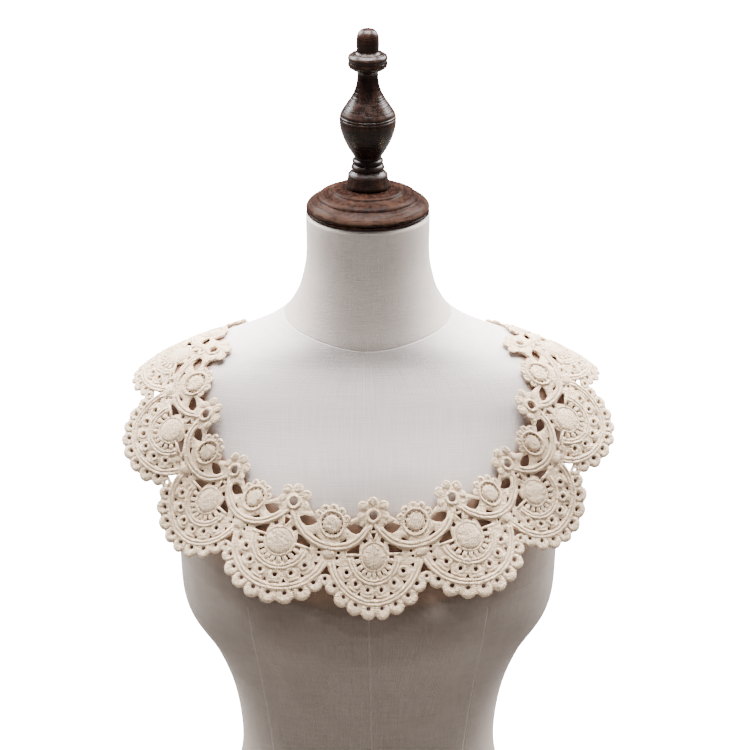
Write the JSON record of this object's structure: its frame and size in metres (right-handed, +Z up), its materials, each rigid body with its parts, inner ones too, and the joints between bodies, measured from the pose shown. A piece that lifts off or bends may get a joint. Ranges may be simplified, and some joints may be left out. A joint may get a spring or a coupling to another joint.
{
  "type": "lace collar on a dress form",
  "caption": "Ring of raised embroidered lace with scalloped hem and petalled neckline, worn on the shoulders of a limbless linen dress form with a turned wooden cap and finial.",
  "frame": {"origin": "on the flat underside of the dress form, below the axis of its neck and finial", "axes": "+Z up through the neck and finial, -Y to the front of the chest, +X to the right as seen from the front"},
  "size_m": [0.4278, 0.2626, 0.8455],
  "materials": {
    "linen": "pale plain-woven linen, matt",
    "dark_wood": "dark varnish, worn on the edges",
    "lace_cotton": "ecru cotton stitching, matt with a slight sheen"
  },
  "bodies": {
    "root": {"dress_form": "linen", "neck_cap": "dark_wood", "finial": "dark_wood", "collar_front": "lace_cotton", "collar_back": "lace_cotton"}
  },
  "joints": []
}
